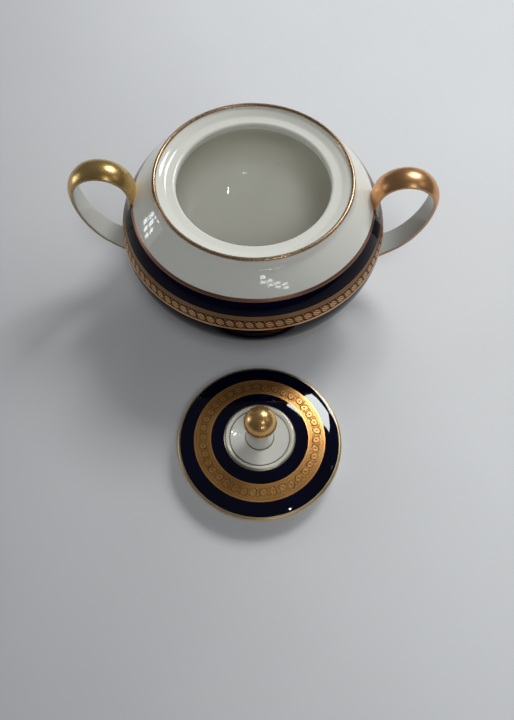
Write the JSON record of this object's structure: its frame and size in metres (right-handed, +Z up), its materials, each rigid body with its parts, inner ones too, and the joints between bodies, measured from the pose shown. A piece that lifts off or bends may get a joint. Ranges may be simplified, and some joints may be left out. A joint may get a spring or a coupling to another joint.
{
  "type": "sugar bowl",
  "caption": "Squat round porcelain sugar bowl with ribbon handles and a loose domed lid with a ball knob, in cobalt and etched gold.",
  "frame": {"origin": "centre of the foot ring's resting face, on the table under the bowl's axis", "axes": "+Z up along the bowl's axis; the handles point along +X and -X; the lid lies on the table towards -Y"},
  "size_m": [0.1716, 0.2013, 0.0764],
  "materials": {
    "porcelain": "gloss glazed hard porcelain, faintly cool white",
    "cobalt_glaze": "deep cobalt under-glaze, mirror gloss",
    "polished_gold": "burnished gold film fired on the glaze",
    "etched_gold": "gold film over an acid-etched relief of leaves and scrolls"
  },
  "bodies": {
    "bowl": {"bowl_body": "porcelain", "rim_gilding": "polished_gold", "shoulder_gold_line": "polished_gold", "cobalt_band": "cobalt_glaze", "etched_gold_band": "etched_gold", "cobalt_ground": "cobalt_glaze", "foot_gold_line": "polished_gold", "handle_right": "porcelain", "handle_right_gilding": "polished_gold", "handle_left": "porcelain", "handle_left_gilding": "polished_gold"},
    "knob_link": {"knob_ball": "polished_gold"},
    "lid": {"lid_body": "porcelain", "lid_edge_gilding": "polished_gold", "lid_outer_cobalt": "cobalt_glaze", "lid_etched_gold_band": "etched_gold", "lid_inner_cobalt": "cobalt_glaze", "lid_inner_gold_line": "polished_gold", "lid_fine_gold_line": "polished_gold", "knob_stem": "porcelain", "knob_base_gold_line": "polished_gold", "knob_collar_gilding": "polished_gold"}
  },
  "joints": [
    {"name": "lid_carry", "type": "hinge", "parent": "bowl", "child": "knob_link", "pos_m": [0.00395, -0.0695, 0.0914], "axis": [-0.9984, -0.0568, 0], "range_deg": [0, 242.96]},
    {"name": "lid_level", "type": "hinge", "parent": "knob_link", "child": "lid", "pos_m": [0.00575, -0.1011, 0.0294], "axis": [-0.9984, -0.0568, 0], "range_deg": [-242.96, 0]}
  ],
  "couplings": [
    {"joint": "lid_level", "follows": "lid_carry", "ratio": -1}
  ]
}
